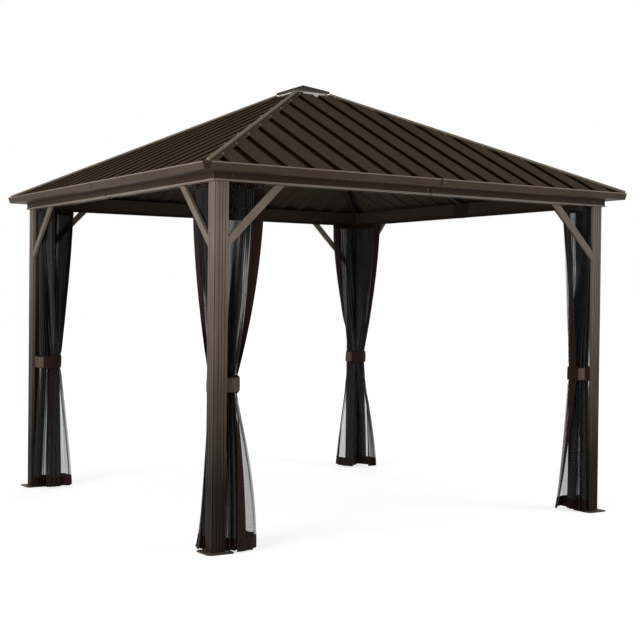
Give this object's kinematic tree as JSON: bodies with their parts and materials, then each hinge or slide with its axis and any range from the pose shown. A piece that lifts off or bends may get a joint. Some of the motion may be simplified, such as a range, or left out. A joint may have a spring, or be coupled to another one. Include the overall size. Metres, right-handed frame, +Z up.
{
  "type": "metal gazebo",
  "caption": "Square garden gazebo with a ribbed metal hip roof and vent cap on fluted corner posts, with tied-back mosquito netting in each corner.",
  "frame": {"origin": "on the ground under the middle of the roof", "axes": "+Z up, -Y to the front, -X to the left; the front side is the one with the front_beam"},
  "size_m": [3.246, 3.246, 2.962],
  "materials": {
    "post_aluminium": "textured brown-grey powder coat on fluted extruded aluminium",
    "beam_aluminium": "textured brown-grey powder coat on extruded aluminium",
    "gutter_aluminium": "brown prepainted aluminium sheet",
    "roof_sheet": "dark brown prepainted galvanised steel sheet",
    "rafter_steel": "dark brown powder coat on steel",
    "vent_screen": "pale insect screen cloth",
    "netting": "black polyester mosquito netting with dark brown hems",
    "tie_fabric": "dark brown woven polyester"
  },
  "bodies": {
    "root": {"front_left_post": "post_aluminium", "front_left_base_plate": "post_aluminium", "front_left_beam_corner": "beam_aluminium", "front_left_braces": "post_aluminium", "front_left_hip_rafter": "rafter_steel", "front_left_curtain": "netting", "front_right_post": "post_aluminium", "front_right_base_plate": "post_aluminium", "front_right_beam_corner": "beam_aluminium", "front_right_braces": "post_aluminium", "front_right_hip_rafter": "rafter_steel", "front_right_curtain": "netting", "back_right_post": "post_aluminium", "back_right_base_plate": "post_aluminium", "back_right_beam_corner": "beam_aluminium", "back_right_braces": "post_aluminium", "back_right_hip_rafter": "rafter_steel", "back_right_curtain": "netting", "back_left_post": "post_aluminium", "back_left_base_plate": "post_aluminium", "back_left_beam_corner": "beam_aluminium", "back_left_braces": "post_aluminium", "back_left_hip_rafter": "rafter_steel", "back_left_curtain": "netting", "front_beam": "beam_aluminium", "front_gutter": "gutter_aluminium", "front_roof": "roof_sheet", "right_beam": "beam_aluminium", "right_gutter": "gutter_aluminium", "right_roof": "roof_sheet", "back_beam": "beam_aluminium", "back_gutter": "gutter_aluminium", "back_roof": "roof_sheet", "left_beam": "beam_aluminium", "left_gutter": "gutter_aluminium", "left_roof": "roof_sheet", "beam_splices": "rafter_steel", "gutter_corners": "gutter_aluminium", "hip_caps": "roof_sheet", "mid_rafters": "rafter_steel", "roof_hub": "rafter_steel", "vent_screen": "vent_screen", "vent_cap": "roof_sheet", "curtain_tracks": "rafter_steel", "curtain_ties": "tie_fabric"}
  },
  "joints": []
}
